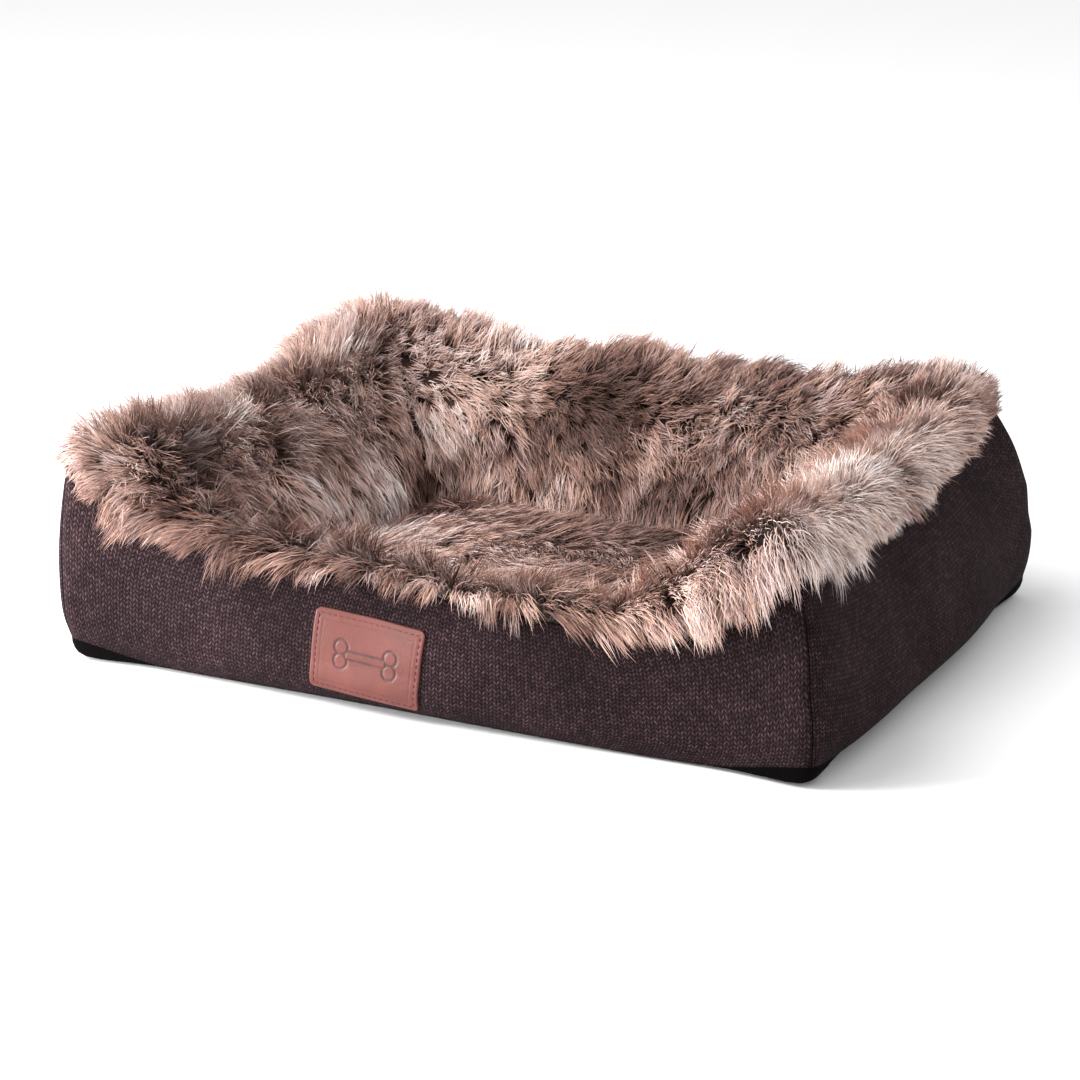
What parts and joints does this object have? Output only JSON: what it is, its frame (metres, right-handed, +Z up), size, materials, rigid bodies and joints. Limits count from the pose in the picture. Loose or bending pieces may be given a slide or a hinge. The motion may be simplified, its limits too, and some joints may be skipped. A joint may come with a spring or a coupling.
{
  "type": "pet bed",
  "caption": "Rectangular pet bed with stuffed bolster walls, a low front entry, a long-pile fur lining, a woven outside with a leather patch, and a loose zipped cushion.",
  "frame": {"origin": "on the floor, under the middle of the bed's plan", "axes": "+X along the long side to the right, +Z up, and the low entry wall faces -Y"},
  "size_m": [0.598, 0.4287, 0.1859],
  "materials": {
    "woven_cloth": "matte",
    "wall_fur": "matte",
    "fibre_fill": "matte",
    "base_cloth": "matte",
    "wadding": "matte",
    "lining_cloth": "matte",
    "patch_leather": "satin",
    "patch_thread": "matte",
    "cushion_fur": "matte",
    "cushion_cloth": "matte",
    "zip_tape": "matte",
    "zip_coil": "satin",
    "zip_metal": "satin"
  },
  "bodies": {
    "bed": {"wall_front_panel": "woven_cloth", "wall_right_panel": "woven_cloth", "wall_back_panel": "woven_cloth", "wall_left_panel": "woven_cloth", "fur_lining_front": "wall_fur", "fur_lining_right": "wall_fur", "fur_lining_back": "wall_fur", "fur_lining_left": "wall_fur", "bolster_fill_front": "fibre_fill", "bolster_fill_right": "fibre_fill", "bolster_fill_back": "fibre_fill", "bolster_fill_left": "fibre_fill", "base_panel": "base_cloth", "base_pad": "wadding", "floor_lining": "lining_cloth", "label_patch": "patch_leather", "label_stitching": "patch_thread"},
    "cushion": {"cushion_fur_top": "cushion_fur", "cushion_base_cover": "cushion_cloth", "cushion_fill": "fibre_fill", "zip_tape": "zip_tape", "zip_coil": "zip_coil", "zip_stops": "zip_metal"},
    "zip_slider": {"zip_slider": "zip_metal"},
    "zip_pull": {"zip_pull_tab": "zip_metal"}
  },
  "joints": [
    {"name": "cushion_lift", "type": "slide", "parent": "bed", "child": "cushion", "axis": [0, 0, 1], "range_m": [0, 0.2]},
    {"name": "zip_run", "type": "slide", "parent": "cushion", "child": "zip_slider", "axis": [-1, 0, 0], "range_m": [0, 0.145]},
    {"name": "zip_pull_swing", "type": "hinge", "parent": "zip_slider", "child": "zip_pull", "pos_m": [0.075, 0.08938, 0.031], "axis": [0, 1, 0], "range_deg": [-60, 60]}
  ]
}
